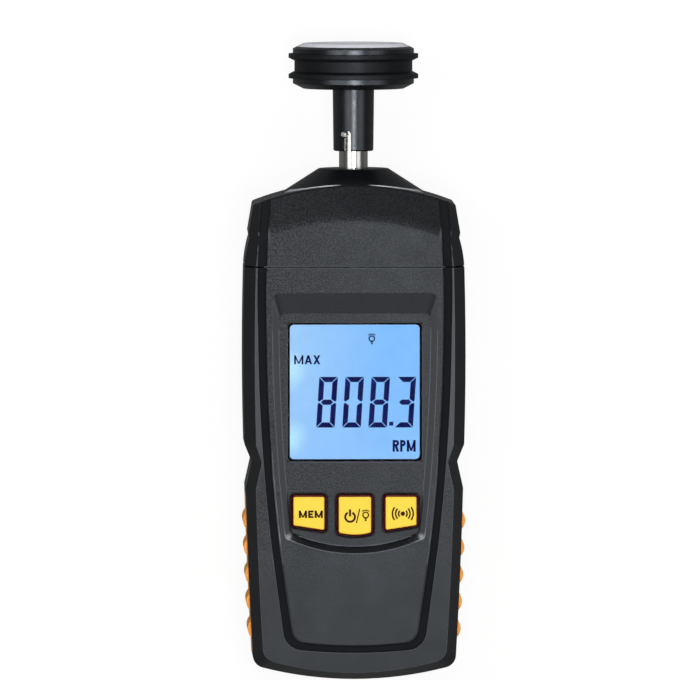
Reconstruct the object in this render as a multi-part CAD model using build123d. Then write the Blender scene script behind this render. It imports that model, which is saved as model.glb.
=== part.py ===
from build123d import *
import math
import os

# A handheld contact tachometer with its surface-speed wheel fitted, in millimetres.
# It lies on its back: +Z points out of the display, +Y towards the wheel, +X to the reader's right.
# The back plane is z = 0. The parts are drawn with Y counted from the middle of the housing's
# widest stretch, and moved along Y at the end so that the whole length is centred on the origin.

# Whole instrument
TIP_Y = 85.85
BOTTOM_Y = -85.2
MIDDLE_Y = (TIP_Y + BOTTOM_Y) / 2
SHAFT_Z = 19.0

# Working values: FAR is beyond everything, OVERLAP is how far fused shapes enter each other
FAR = 100.0
OVERLAP = 0.2
FIT = 0.15

# Housing levels above the back plane, and its walls
PARTING_Z = SHAFT_Z
PANEL_Z = 38.0
FLANK_Z = 37.2
GROOVE_Z = 36.4
CEILING_Z = 34.4
WALL = 2.0

# Sloped band round both edges: its width at the head, lower down, at the bottom end, its height
BAND_WIDTH = 3.05
BAND_LOW_WIDTH = 2.7
BAND_END_WIDTH = 2.15
BAND_HEIGHT = 6.2

# Housing outline: points on the right-hand edge, from the shoulder down to the bottom corner
ARCH_CENTRE_Y = -25.2
ARCH_R = 73.3
SHOULDER_X = 27.2
CHEEK = (28.5, 35.2)
NOTCH = (28.25, 33.8)
CHEEK_SWELL = (29.15, 30.0)
SEAM_EDGE = (29.65, 25.1)
WIDEST = (29.95, 5.0)
WAIST_TOP = (29.6, -21.8)
WAIST = (27.7, -26.4)
WAIST_BOTTOM = (29.3, -33.6)
GRIP_EDGE = (28.45, -58.0)
BOTTOM_CORNER = (27.25, -81.4)
SHOULDER_ROUND = 1.0
WAIST_ROUNDS = (1.5, 1.2, 1.5)
CORNER_ROUND = 3.5

# Head: its seam, the crown that slopes back to the arched edge, and the nose cone
SEAM_Y = 26.2
SEAM_GAP = 0.45
CREASE_R = 63.7
CROWN_SLOPE = 3.0 / 9.6
CROWN_DEPTH = 5.0
NOSE_TIP_Y = 52.1
NOSE_TIP_R = 9.4
NOSE_SLOPE = 1.56
NOSE_FOOT_Y = 44.0
NOSE_CLEARANCE = 3.2
NOSE_ROUND = 0.5

# Head cap's inside, and the lip and bead that the two case halves trap
CAP_WALL = 3.2
CAP_END_WALL = 3.4
CAP_CEILING_Z = 33.2
LIP_DEPTH = 4.0
LIP_ROOT_Y = 28.0
BEAD_Y = (23.25, 24.15)
BEAD_INSET = 1.55
BEAD_TOP_Z = 34.85
BEAD_PLAY = 0.2
BOSS_SHELL = 2.4
RIB_HALF = 0.9
RIB_Y = (30.0, 46.0)
SIDE_RIB_REACH = 24.0
UPRIGHT_RIB_REACH = 16.5

# Front panel and the groove round it; the groove is wider at the head and narrower at its foot
PANEL_TOP = (21.9, 49.5)
PANEL_HEAD = (23.65, 30.0)
PANEL_WIDEST = (23.95, 9.4)
PANEL_TAPER = (22.9, -20.0)
PANEL_KINK = (20.15, -50.0)
PANEL_CORNER = (16.6, -74.7)
PANEL_BOTTOM_Y = -75.9
PANEL_ROUND = 4.4
PANEL_RIM_ROUND = 0.4
PANEL_RIM_TOP_Y = 6.2
GROOVE_WIDTH = 2.1
GROOVE_HEAD_WIDTH = 2.6
GROOVE_FOOT_WIDTH = 1.8

# Stepped display recess: its rim in the panel and its floor
RECESS_FLOOR_Z = 36.6
RECESS_RIM = {"top": (22.2, 19.3), "mid": (21.5, -13.6), "low": (18.7, -46.6), "bottom_y": -50.9}
RECESS_FLOOR = {"top": (20.5, 13.7), "mid": (19.75, -14.6), "low": (17.3, -45.3), "bottom_y": -49.0}
RECESS_ROUNDS = (2.0, 1.6)

# Display stack
DISPLAY_Y = -7.5
WINDOW_SIZE = (36.2, 37.4)
WINDOW_ROUND = 1.2
WINDOW_TOP_Z = 36.4
WINDOW_SEAT_Z = 35.6
WINDOW_FLANGE = (39.8, 41.2)
FLANGE_ROUND = 1.3
POCKET_ROUND = 0.7
PANE_GAP = 0.1
GLASS_GAP = 0.05
LCD_SIZE = (39.4, 40.8)
LCD_Z = (32.0, 34.6)
LCD_ROUND = 0.6
BACKLIGHT_SIZE = (38.0, 36.0)
BACKLIGHT_Z = (29.6, 31.9)
BACKLIGHT_Y = -5.9
CONNECTOR_HALF = 18.0
CONNECTOR_Y = (-27.4, -25.6)
FRAME_WALL = 1.2
FRAME_DEPTH = 0.6

# Buttons
BUTTON_X = 12.4
BUTTON_TOP_Y = -35.2
SIDE_BUTTON = {"half_width": 4.55, "outer_y": -43.6, "inner_y": -45.0}
MIDDLE_BUTTON = {"half_width": 4.75, "side_y": -45.5, "centre_y": -46.2}
BUTTON_TOP_Z = 37.4
BUTTON_FOOT_Z = 33.7
BUTTON_GAP = 0.35
BUTTON_CORNER_R = 0.8
BUTTON_TOP_ROUND = 0.5
BUTTON_FLANGE = 0.8
FLANGE_HEIGHT = 0.5

# Boards
BOARD_Z = (28.0, 29.6)
BOARD_SIZE = (47.0, 63.5)
BOARD_TOP_Y = 13.5
BOARD_ROUND = 2.0
BOARD_HOLE_R = 1.1
CHIP = ((-6.0, 6.0), (-16.0, -4.0), (26.4, 28.0))
SWITCH_Y = -40.2
SWITCH_HALF = 3.0
SWITCH_BODY_Z = 32.4
SWITCH_PLUNGER_R = 1.7
SWITCH_TOP_Z = 33.15
SENSOR_BOARD = ((-12.0, 12.0), (5.0, 21.8), (3.2, 4.8))
SENSOR_POSTS = [(9.0, 8.0), (9.0, 19.5)]
FORK = ((-3.0, 3.0), (13.0, 21.6), (4.8, 12.6))
FORK_GAP = 0.7
FORK_FLOOR_Z = 6.3
FORK_CHAMFER = 0.6

# Fasteners and what they screw into
BOARD_POSTS = [(21.4, 11.4), (19.6, -47.6)]
POST_R = 1.6
BOARD_SCREW = {"head_r": 1.7, "shank_r": 0.9, "head": 1.2, "reach": 3.5}
CASE_SCREWS = [(20.5, 17.4), (21.6, -62.0)]
CASE_SCREW = {"head_r": 2.1, "shank_r": 1.15, "head": 1.8, "reach": 8.0}
BOSS_R = 2.9
BOSS_FLOOR_Z = 11.0
COUNTERBORE_R = 2.4
HOLE_SPARE = 0.5
SHANK_PLAY = 0.2
HEAD_CHAMFER_SHARE = 0.3
DRIVE_SHARE = 0.6
DRIVE_HALF = 0.25

# Lap joint between the case halves
LAP_INSET = 1.0
LAP_THICKNESS = 1.2
LAP_HEIGHT = 1.2
LAP_ROOT = 2.0
LAP_PLAY = 0.1
LAP_END_Y = 21.6

# Shaft line, along Y
SHAFT_R = 3.875
JOURNAL_R = 3.0
SHAFT_TIP_Y = 66.0
SHOULDER_Y = 32.0
SHAFT_TAIL_Y = 14.0
TIP_CHAMFER = 0.6
TAIL_CHAMFER = 0.4
RUNNING = 0.04
SHAFT_OPENING = 0.4
HOUSING_R = 7.0
HOUSING_BORE_R = 5.0
HOUSING_Y = (25.0, 50.0)
HOUSING_FLANGE_R = 9.4
HOUSING_FLANGE = 2.0
FRONT_BUSH_Y = (43.0, 50.0)
REAR_BUSH_Y = (25.0, 31.0)
WASHER_R = 4.7
WASHER_THICKNESS = 0.8
RING_Y = (24.0, 24.8)
RING_R = 4.6
RING_SEAT = 0.5
RING_SPLIT_HALF = 1.2
DISC_Y = (17.0, 18.2)
DISC_R = 12.0
DISC_HUB_R = 5.0
DISC_HUB = (2.0, 1.8)
DISC_SLOTS = 20
DISC_SLOT_HALF = 0.55
DISC_SLOT_Z = (8.2, 11.0)

# Bayonet and wheel, along Y
PIN_Y = 61.4
PIN_R = 0.8
PIN_CHAMFER = 0.2
PIN_SINK = 0.05
PIN_ANGLE = -33.1
LEG_ANGLE = -18.3
SLOT_HALF = 0.86
SLOT_RELIEF = 0.02
SLOT_REACH = (2.0, 8.0)
SLEEVE_PLAY = 0.05
SLEEVE_FOOT_Y = 56.8
SLEEVE_FOOT_R = 5.4
SLEEVE_TOP_R = 5.6
SLEEVE_CHAMFER = 0.3
SLEEVE_END_GAP = 0.3
WHEEL_MID_Y = 79.75
WHEEL_HALF = TIP_Y - WHEEL_MID_Y
FLANGE_HALF = WHEEL_HALF - 1.4
SEAT_HALF = 3.3
RIDGE_FOOT = 1.4
RIDGE_TOP = 2.2
TREAD_R = 15.915
RIDGE_R = 17.5
FLANGE_R = 16.35
FACE_R = 13.6
TYRE_SEAT_R = 14.4
DISH_R = (10.6, 11.4)
DISH_DEPTH = 1.6

# Battery bay in the back
CELL_R = 5.25
CELL_LENGTH = 44.5
CELL_PITCH = 11.0
CELL_Z = 8.6
CELL_NUB = 0.8
CELL_NUB_R = 1.9
BAY_HALF_X = 16.6
BAY_Y = (-76.0, -27.0)
BAY_ROOF_Z = 14.2
BAY_WALL = 1.2
RAIL_WIDTH = 3.4
RAIL_TOP = 1.0
RAIL_Y = (-83.0, -23.0)
CONTACT_HALF = 3.0
CONTACT_THICKNESS = 0.4
CONTACT_GAP = 0.1
CONTACT_Z = (4.0, 7.4, 9.8, 11.2, 13.6)
CONTACT_HOLLOW_Z = (6.0, 10.4)

# Sliding battery cover, its side tongues and its thumb ribs
COVER_HALF_X = 17.6
COVER_TOP_Y = -24.4
COVER_Z = (0.1, 1.45)
COVER_TONGUE = 1.0
TONGUE_THICKNESS = 0.6
TONGUE_Y = (-78.0, -28.4)
THUMB_COUNT = 5
THUMB_TOP_Y = -30.4
THUMB_PITCH = 2.0
THUMB_HALF_Y = 0.4
THUMB_HALF_X = 7.0
THUMB_STEP = 1.0
THUMB_Z = 0.5

# Side grips: strips flush with the side walls, with ribs that stand out
GRIP_Y = (-78.4, -35.5)
GRIP_Z = (8.0, 30.0)
GRIP_DEPTH = 1.0
GRIP_PLAY = 0.05
RIB_COUNT = 5
RIB_FIRST_Y = -42.5
RIB_PITCH = 7.3
RIB_LENGTH = 4.6
RIB_HEIGHT = 0.95
RIB_END = 1.5


def slab(x_range, y_range, z_range):
    """Box between two corners."""
    size = [high - low for low, high in (x_range, y_range, z_range)]
    centre = [(high + low) / 2 for low, high in (x_range, y_range, z_range)]
    return Pos(*centre) * Box(*size)


def y_slice(low, high):
    """Everything between two distances along the instrument."""
    return slab((-FAR, FAR), (low, high), (-FAR, FAR))


def z_slice(low, high):
    """Everything between two levels."""
    return slab((-FAR, FAR), (-FAR, FAR), (low, high))


def plate(size, z_range, radius, centre_y=DISPLAY_Y):
    """Plate with rounded corners on the centre line."""
    outline = RectangleRounded(size[0], size[1], radius)
    return Pos(0, centre_y, z_range[0]) * extrude(outline, z_range[1] - z_range[0])


def rod(radius, z_low, z_high):
    """Upright cylinder on the origin's axis."""
    return Pos(0, 0, z_low) * Cylinder(
        radius, z_high - z_low, align=(Align.CENTER, Align.CENTER, Align.MIN))


def turned(points):
    """Solid of revolution about the shaft line; points are (y, radius)."""
    outline = make_face(Polyline(*[(radius, y) for y, radius in points], close=True))
    return Pos(0, 0, SHAFT_Z) * revolve(outline, Axis.Y)


def ring(y_range, inner_r, outer_r):
    """Plain ring about the shaft line."""
    low, high = y_range
    return turned([(low, inner_r), (low, outer_r), (high, outer_r), (high, inner_r)])


def radial_rod(angle, radius, length):
    """Rod at the pin's place from the shaft line outwards; angle turns from +Z towards +X."""
    return Pos(0, PIN_Y, SHAFT_Z) * Rot(0, angle, 0) * Cylinder(
        radius, length, align=(Align.CENTER, Align.CENTER, Align.MIN))


def mirrored_pair(solid):
    """The solid and its mirror image across the centre line."""
    return solid + mirror(solid, Plane.YZ)


def boss_places(points):
    """Both sides of each fastener place."""
    return [Location((side * x, y, 0)) for x, y in points for side in (1, -1)]


def at_places(points, shape):
    """One fused shape repeated at each fastener place."""
    copies = [place * shape for place in boss_places(points)]
    return copies[0] + copies[1:]


def bridge(left, middle, right):
    """Arc through three points, or a line where they are level."""
    if math.isclose(middle[1], left[1]):
        return Line(left, right)
    return ThreePointArc(left, middle, right)


def symmetric_face(top_y, right_side, bottom_y):
    """Face closed by its mirrored right side, with straight or arched ends."""
    top = right_side[0] @ 0
    low = right_side[-1] @ 1
    head = bridge((-top.X, top.Y), (0, top_y), (top.X, top.Y))
    foot = bridge((low.X, low.Y), (0, bottom_y), (-low.X, low.Y))
    left_side = [edge.mirror(Plane.YZ) for edge in right_side]
    return make_face([head, *right_side, foot, *left_side])


def rounded(face, corners):
    """Round corners and their mirror images; corners holds (x, y, radius)."""
    for x, y, radius in corners:
        for side_x in (x, -x):
            corner = face.vertices().sort_by_distance((side_x, y, 0))[0]
            face = fillet(corner, radius)
    return face


def arch_y(x, radius):
    """Height of the head's arch at x."""
    return ARCH_CENTRE_Y + math.sqrt(radius ** 2 - x ** 2)


def body_outline(inset=0.0, end_inset=0.0, banded=False):
    """Waisted outline; inset is for sides and bottom, end_inset for the arch, banded for the band."""
    head = inset + (BAND_WIDTH if banded else 0)
    low = inset + (BAND_LOW_WIDTH if banded else 0)
    foot = inset + (BAND_END_WIDTH if banded else 0)

    def edge(point, taken):
        return (point[0] - taken, point[1])

    radius = ARCH_R - end_inset
    shoulder = (SHOULDER_X - head, arch_y(SHOULDER_X - head, radius))
    waist_top, waist = edge(WAIST_TOP, head), edge(WAIST, low)
    waist_bottom = edge(WAIST_BOTTOM, low)
    corner = (BOTTOM_CORNER[0] - low, BOTTOM_CORNER[1] + foot)
    side = [
        Line(shoulder, edge(CHEEK, head)),
        Line(edge(CHEEK, head), edge(NOTCH, head)),
        ThreePointArc(edge(NOTCH, head), edge(CHEEK_SWELL, head), edge(SEAM_EDGE, head)),
        ThreePointArc(edge(SEAM_EDGE, head), edge(WIDEST, head), waist_top),
        Line(waist_top, waist),
        Line(waist, waist_bottom),
        ThreePointArc(waist_bottom, edge(GRIP_EDGE, low), corner),
    ]
    face = symmetric_face(arch_y(0, radius), side, BOTTOM_Y + foot)
    return rounded(face, [
        (*shoulder, SHOULDER_ROUND), (*waist_top, WAIST_ROUNDS[0]), (*waist, WAIST_ROUNDS[1]),
        (*waist_bottom, WAIST_ROUNDS[2]), (*corner, CORNER_ROUND)])


def body_form(inset=0.0, z_low=0.0, z_high=FLANK_Z, end_inset=0.0):
    """Straight side walls between two sloped edge bands; the back one also slopes at the head."""
    outer = body_outline(inset, end_inset)
    low, high = z_low + BAND_HEIGHT, z_high - BAND_HEIGHT
    middle = extrude(Pos(0, 0, low) * outer, high - low)
    front_edge = body_outline(inset, end_inset, banded=True)
    back_edge = body_outline(inset, end_inset + BAND_END_WIDTH, banded=True)
    front = loft([Pos(0, 0, high) * outer, Pos(0, 0, z_high) * front_edge], ruled=True)
    back = loft([Pos(0, 0, z_low) * back_edge, Pos(0, 0, low) * outer], ruled=True)
    return middle + front + back


def straight_form(inset):
    """The outline extruded straight up, without sloped bands."""
    return extrude(body_outline(inset), PANEL_Z)


def crown_cut(crease_z):
    """What the head's sloping crown takes off a surface whose level is crease_z."""
    drop = (FAR - CREASE_R) * CROWN_SLOPE
    top = crease_z + CROWN_DEPTH
    section = Polyline((CREASE_R, crease_z), (FAR, crease_z - drop), (FAR, top), (CREASE_R, top),
                       close=True)
    cone = revolve(Plane.XZ * make_face(section), Axis.Z)
    return Pos(0, ARCH_CENTRE_Y, 0) * cone & y_slice(SEAM_Y, FAR)


def panel_outline(groove=False):
    """Outline of the raised panel, or of the groove round it."""
    grow, head, foot = (GROOVE_WIDTH, GROOVE_HEAD_WIDTH, GROOVE_FOOT_WIDTH) if groove else (0, 0, 0)
    widest = (PANEL_WIDEST[0] + grow, PANEL_WIDEST[1])
    kink = (PANEL_KINK[0] + grow, PANEL_KINK[1])
    corner = (PANEL_CORNER[0] + grow, PANEL_CORNER[1] - foot)
    side = [
        ThreePointArc((PANEL_TOP[0] + head, PANEL_TOP[1]),
                      (PANEL_HEAD[0] + (grow + head) / 2, PANEL_HEAD[1]), widest),
        ThreePointArc(widest, (PANEL_TAPER[0] + grow, PANEL_TAPER[1]), kink),
        Line(kink, corner),
    ]
    face = symmetric_face(PANEL_TOP[1], side, PANEL_BOTTOM_Y - foot)
    return rounded(face, [(*corner, PANEL_ROUND + foot / 2)])


def recess_outline(shape):
    """One boundary of the display recess."""
    side = [ThreePointArc(shape["top"], shape["mid"], shape["low"])]
    face = symmetric_face(shape["top"][1], side, shape["bottom_y"])
    return rounded(face, [(*shape["top"], RECESS_ROUNDS[0]), (*shape["low"], RECESS_ROUNDS[1])])


def nose_cone():
    """The cone round the shaft, cut flat just inside the front and back of the head."""
    foot_r = NOSE_TIP_R + (NOSE_TIP_Y - NOSE_FOOT_Y) * NOSE_SLOPE
    cone = turned([(NOSE_FOOT_Y, 0), (NOSE_FOOT_Y, foot_r), (NOSE_TIP_Y, NOSE_TIP_R),
                   (NOSE_TIP_Y, 0)])
    tip = cone.edges().filter_by(GeomType.CIRCLE).sort_by(Axis.Y)[-1]
    depth = SHAFT_Z - NOSE_CLEARANCE
    return fillet(tip, NOSE_ROUND) & z_slice(SHAFT_Z - depth, SHAFT_Z + depth)


def outer_body():
    """The whole housing as one solid block, with its panel, groove and recess."""
    block = body_form() - crown_cut(FLANK_Z)
    channel = extrude(panel_outline(groove=True), PANEL_Z)
    floor = extrude(panel_outline(groove=True), GROOVE_Z) - crown_cut(GROOVE_Z)
    panel = extrude(panel_outline(), PANEL_Z) - crown_cut(PANEL_Z)
    rim = panel.edges().filter_by_position(Axis.Y, -FAR, PANEL_RIM_TOP_Y).group_by(Axis.Z)[-1]
    panel = fillet(rim, PANEL_RIM_ROUND)
    body = block - (channel - floor) + (panel & body_form(z_high=PANEL_Z + WALL))
    recess = loft([Pos(0, 0, RECESS_FLOOR_Z) * recess_outline(RECESS_FLOOR),
                   Pos(0, 0, PANEL_Z) * recess_outline(RECESS_RIM)], ruled=True)
    return body - recess


def case_groove():
    """Ring cut into both case halves that traps the head cap's bead."""
    inset = BEAD_INSET - BEAD_PLAY
    ring_form = body_form(inset, inset, BEAD_TOP_Z + BEAD_PLAY)
    return ring_form & y_slice(BEAD_Y[0] - BEAD_PLAY, BEAD_Y[1] + BEAD_PLAY)


def lap_wall(play, top_z):
    """Thin wall along the parting line; a positive play gives the rebate it enters."""
    inner = LAP_INSET + LAP_THICKNESS + play
    wall = straight_form(LAP_INSET - play) - straight_form(inner)
    return wall & y_slice(-FAR, LAP_END_Y) & z_slice(PARTING_Z - LAP_ROOT, top_z)


def grip_seat(gap=0.0):
    """Shallow seats in the side walls, or with a negative gap the strips that fill them."""
    sides = body_form() - body_form(GRIP_DEPTH + gap)
    seat = slab((0, FAR), (GRIP_Y[0] - gap, GRIP_Y[1] + gap), (GRIP_Z[0] - gap, GRIP_Z[1] + gap))
    return sides & mirrored_pair(seat)


def button_outlines(grow=0.0):
    """Outlines of the memory, power and measuring buttons."""
    half = SIDE_BUTTON["half_width"]
    outer = [(-half, BUTTON_TOP_Y), (half, BUTTON_TOP_Y), (half, SIDE_BUTTON["inner_y"]),
             (-half, SIDE_BUTTON["outer_y"])]
    left = Pos(-BUTTON_X, 0, 0) * make_face(Polyline(*outer, close=True))
    left = fillet(left.vertices(), BUTTON_CORNER_R)
    half = MIDDLE_BUTTON["half_width"]
    side_y, centre_y = MIDDLE_BUTTON["side_y"], MIDDLE_BUTTON["centre_y"]
    middle = make_face([
        Line((-half, BUTTON_TOP_Y), (half, BUTTON_TOP_Y)),
        Line((half, BUTTON_TOP_Y), (half, side_y)),
        ThreePointArc((half, side_y), (0, centre_y), (-half, side_y)),
        Line((-half, side_y), (-half, BUTTON_TOP_Y)),
    ])
    middle = fillet(middle.vertices(), BUTTON_CORNER_R)
    outlines = [left, middle, mirror(left, Plane.YZ)]
    if grow:
        outlines = [offset(outline, grow) for outline in outlines]
    return outlines


def pocket_size():
    """Width and length of the room for the window's flange and the display."""
    return (WINDOW_FLANGE[0] + 2 * FIT, WINDOW_FLANGE[1] + 2 * FIT)


def display_pocket():
    """Room behind the recess floor for the window's flange, and the opening in front of it."""
    pocket = plate(pocket_size(), (CEILING_Z, WINDOW_SEAT_Z), POCKET_ROUND)
    return pocket + plate(WINDOW_SIZE, (CEILING_Z, PANEL_Z), WINDOW_ROUND)


def display_frame():
    """Rib round the display on the inside of the front case."""
    inner = pocket_size()
    outer = (inner[0] + 2 * FRAME_WALL, inner[1] + 2 * FRAME_WALL)
    z_range = (LCD_Z[0] - FRAME_DEPTH, CEILING_Z + OVERLAP)
    frame = plate(outer, z_range, POCKET_ROUND + FRAME_WALL)
    return frame - plate(inner, z_range, POCKET_ROUND)


def front_case(body):
    """Front shell: recess, window opening, button holes, board posts and screw bosses."""
    shell = body & y_slice(-FAR, SEAM_Y - SEAM_GAP / 2) & z_slice(PARTING_Z, FAR)
    shell = shell - body_form(WALL, WALL, CEILING_Z)
    shell = shell + display_frame() - display_pocket()
    shell = shell + at_places(BOARD_POSTS, rod(POST_R, BOARD_Z[1], CEILING_Z + OVERLAP))
    bosses = at_places(CASE_SCREWS, rod(BOSS_R, PARTING_Z, FAR))
    shell = shell + (bosses & body_form(WALL / 2, WALL, CEILING_Z + OVERLAP))
    for places, screw, mouth_z in ((BOARD_POSTS, BOARD_SCREW, BOARD_Z[1]),
                                   (CASE_SCREWS, CASE_SCREW, PARTING_Z)):
        depth = screw["reach"] + HOLE_SPARE
        shell = shell - at_places(places, rod(screw["shank_r"], mouth_z, mouth_z + depth))
    for outline in button_outlines(BUTTON_GAP):
        shell = shell - extrude(outline, PANEL_Z)
    rebate = lap_wall(LAP_PLAY, PARTING_Z + LAP_HEIGHT + LAP_PLAY)
    return shell - rebate - grip_seat() - case_groove()


def battery_tub():
    """Moulded box for the cells, open to the back, with a rib each side for the cover's tongues."""
    half, root = BAY_HALF_X, WALL - OVERLAP
    low, high = BAY_Y
    tub = slab((-half - BAY_WALL, half + BAY_WALL), (low - BAY_WALL, high + BAY_WALL),
               (root, BAY_ROOF_Z + BAY_WALL))
    rail = slab((half, half + RAIL_WIDTH), RAIL_Y, (root, WALL + RAIL_TOP))
    floor = slab((-half, half), (RAIL_Y[0], low - BAY_WALL), (root, WALL + RAIL_TOP))
    return (tub + mirrored_pair(rail) + floor) & straight_form(WALL / 2)


def battery_opening():
    """Space for the cells, and the cover's seat with its tongue slots."""
    half = COVER_HALF_X + FIT
    bay = slab((-BAY_HALF_X, BAY_HALF_X), BAY_Y, (-OVERLAP, BAY_ROOF_Z))
    seat = slab((-half, half), (-FAR, COVER_TOP_Y + FIT), (-OVERLAP, COVER_Z[1] + FIT))
    reach = half + COVER_TONGUE
    tongue_z = (COVER_Z[1] - TONGUE_THICKNESS - FIT, COVER_Z[1] + FIT)
    return bay + seat + slab((-reach, reach), (-FAR, TONGUE_Y[1] + FIT), tongue_z)


def rear_case(body):
    """Rear shell: battery tub, screw bosses with counterbores, posts for the sensor board."""
    root = WALL - OVERLAP
    shell = body & y_slice(-FAR, SEAM_Y - SEAM_GAP / 2) & z_slice(-FAR, PARTING_Z)
    shell = shell - body_form(WALL, WALL, CEILING_Z)
    bosses = at_places(CASE_SCREWS, rod(BOSS_R, root, PARTING_Z))
    shell = shell + battery_tub() + (bosses & body_form(WALL / 2, root, CEILING_Z))
    shell = shell + at_places(SENSOR_POSTS, rod(POST_R, root, SENSOR_BOARD[2][0]))
    shell = shell + (lap_wall(0, PARTING_Z + LAP_HEIGHT) & y_slice(-FAR, LAP_END_Y - FIT))
    shell = shell - at_places(CASE_SCREWS, rod(COUNTERBORE_R, -OVERLAP, BOSS_FLOOR_Z))
    shank_r = CASE_SCREW["shank_r"] + SHANK_PLAY
    shell = shell - at_places(CASE_SCREWS, rod(shank_r, 0, PARTING_Z + OVERLAP))
    return shell - battery_opening() - grip_seat() - case_groove()


def head_cap(body):
    """Head and nose cone in one moulding, with the bearing boss and the lip that the cases trap."""
    cap = body & y_slice(SEAM_Y + SEAM_GAP / 2, FAR)
    hollow = body_form(CAP_WALL, CAP_WALL, CAP_CEILING_Z, end_inset=CAP_END_WALL)
    cap = cap - (hollow - crown_cut(CAP_CEILING_Z))
    bead = body_form(BEAD_INSET, BEAD_INSET, BEAD_TOP_Z) & y_slice(*BEAD_Y)
    inset = WALL + FIT
    lip = body_form(inset, inset, CEILING_Z - FIT) & y_slice(SEAM_Y - LIP_DEPTH, LIP_ROOT_Y)
    cap = cap + ((bead + lip) - body_form(CAP_WALL, CAP_WALL, CAP_CEILING_Z))
    seat_y, front_y = HOUSING_Y[0] + HOUSING_FLANGE, HOUSING_Y[1]
    cap = cap + nose_cone() + ring((seat_y, front_y), HOUSING_R, HOUSING_R + BOSS_SHELL)
    for angle in (0, 90, 180, 270):
        cap = cap + bearing_rib(angle)
    opening_r = SHAFT_R + SHAFT_OPENING
    return cap - turned([(0, 0), (0, HOUSING_R), (front_y, HOUSING_R), (front_y, opening_r),
                         (FAR, opening_r), (FAR, 0)])


def bearing_rib(angle):
    """Rib from the bearing boss to the housing wall."""
    reach = SIDE_RIB_REACH if angle % 180 else UPRIGHT_RIB_REACH
    rib = slab((-RIB_HALF, RIB_HALF), RIB_Y, (HOUSING_R + BOSS_SHELL / 2, reach))
    rib = Pos(0, 0, SHAFT_Z) * Rot(0, angle, 0) * rib
    return rib & body_form(WALL, WALL / 2, CEILING_Z, end_inset=WALL)


def right_grip():
    """Ribbed strip set into the right side wall."""
    strip = grip_seat(-GRIP_PLAY) & slab((0, FAR), (-FAR, FAR), (-FAR, FAR))
    radius = (RIB_LENGTH ** 2 / 4 + RIB_HEIGHT ** 2) / (2 * RIB_HEIGHT)
    z_range = (GRIP_Z[0] + RIB_END, GRIP_Z[1] - RIB_END)
    for index in range(RIB_COUNT):
        y = RIB_FIRST_Y - index * RIB_PITCH
        edge_x = grip_edge_x(y)
        rib = Pos(edge_x + RIB_HEIGHT - radius, y, 0) * rod(radius, *z_range)
        strip = strip + (rib & slab((edge_x - GRIP_DEPTH / 2, FAR), (-FAR, FAR), z_range))
    return strip


def grip_edge_x(y):
    """Half-width of the housing beside the grip."""
    share = (WAIST_BOTTOM[1] - y) / (WAIST_BOTTOM[1] - BOTTOM_CORNER[1])
    straight = WAIST_BOTTOM[0] + share * (BOTTOM_CORNER[0] - WAIST_BOTTOM[0])
    bow = GRIP_EDGE[0] - (WAIST_BOTTOM[0] + BOTTOM_CORNER[0]) / 2
    return straight + 4 * bow * share * (1 - share)


def display_window():
    """Clear window: a flange behind the front case and a raised pane in the opening."""
    back_z = LCD_Z[1] + GLASS_GAP
    pane_size = (WINDOW_SIZE[0] - 2 * PANE_GAP, WINDOW_SIZE[1] - 2 * PANE_GAP)
    pane = plate(pane_size, (back_z, WINDOW_TOP_Z), WINDOW_ROUND - PANE_GAP)
    return plate(WINDOW_FLANGE, (back_z, WINDOW_SEAT_Z), FLANGE_ROUND) + pane


def lcd_panel():
    """Glass sandwich of the liquid-crystal display."""
    return plate(LCD_SIZE, LCD_Z, LCD_ROUND)


def backlight_panel():
    """Light guide behind the display."""
    return plate(BACKLIGHT_SIZE, BACKLIGHT_Z, LCD_ROUND, BACKLIGHT_Y)


def lcd_connector():
    """Rubber contact strip between the board and the display's lower ledge."""
    return slab((-CONNECTOR_HALF, CONNECTOR_HALF), CONNECTOR_Y, (BOARD_Z[1], LCD_Z[0]))


def main_board():
    """Circuit board on the front case's posts."""
    board = plate(BOARD_SIZE, BOARD_Z, BOARD_ROUND, BOARD_TOP_Y - BOARD_SIZE[1] / 2)
    return board - at_places(BOARD_POSTS, rod(BOARD_HOLE_R, 0, FAR))


def main_chip():
    """Processor under the board."""
    return slab(*CHIP)


def button_switches():
    """Three push switches on the board."""
    square = (-SWITCH_HALF, SWITCH_HALF)
    switch = slab(square, square, (BOARD_Z[1], SWITCH_BODY_Z))
    switch = switch + rod(SWITCH_PLUNGER_R, BOARD_Z[1], SWITCH_TOP_Z)
    return Compound(children=[Pos(x, SWITCH_Y, 0) * switch for x in (-BUTTON_X, 0, BUTTON_X)])


def button(index):
    """Key cap with a retaining flange under the front case."""
    outline = Pos(0, 0, BUTTON_FOOT_Z) * button_outlines()[index]
    cap = extrude(outline, BUTTON_TOP_Z - BUTTON_FOOT_Z)
    cap = fillet(cap.edges().group_by(Axis.Z)[-1], BUTTON_TOP_ROUND)
    return cap + extrude(offset(outline, BUTTON_FLANGE), FLANGE_HEIGHT)


def pan_screw(size, seat_z, mouth_z):
    """Screw with its head below seat_z and its plain shank reaching past mouth_z."""
    low = seat_z - size["head"]
    screw = rod(size["head_r"], low, seat_z) + rod(size["shank_r"], low, mouth_z + size["reach"])
    rim = screw.edges().filter_by(GeomType.CIRCLE).group_by(Axis.Z)[0]
    screw = chamfer(rim, size["head"] * HEAD_CHAMFER_SHARE)
    half, depth = size["head_r"] * DRIVE_SHARE, size["head"] * DRIVE_SHARE
    blade = slab((-half, half), (-DRIVE_HALF, DRIVE_HALF), (low - OVERLAP, low + depth))
    return screw - blade - Rot(0, 0, 90) * blade


def case_screws():
    """Four screws that hold the case halves together."""
    screw = pan_screw(CASE_SCREW, BOSS_FLOOR_Z, PARTING_Z)
    return Compound(children=[place * screw for place in boss_places(CASE_SCREWS)])


def board_screws():
    """Four screws that hold the main board to the front case."""
    screw = pan_screw(BOARD_SCREW, *BOARD_Z)
    return Compound(children=[place * screw for place in boss_places(BOARD_POSTS)])


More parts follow.
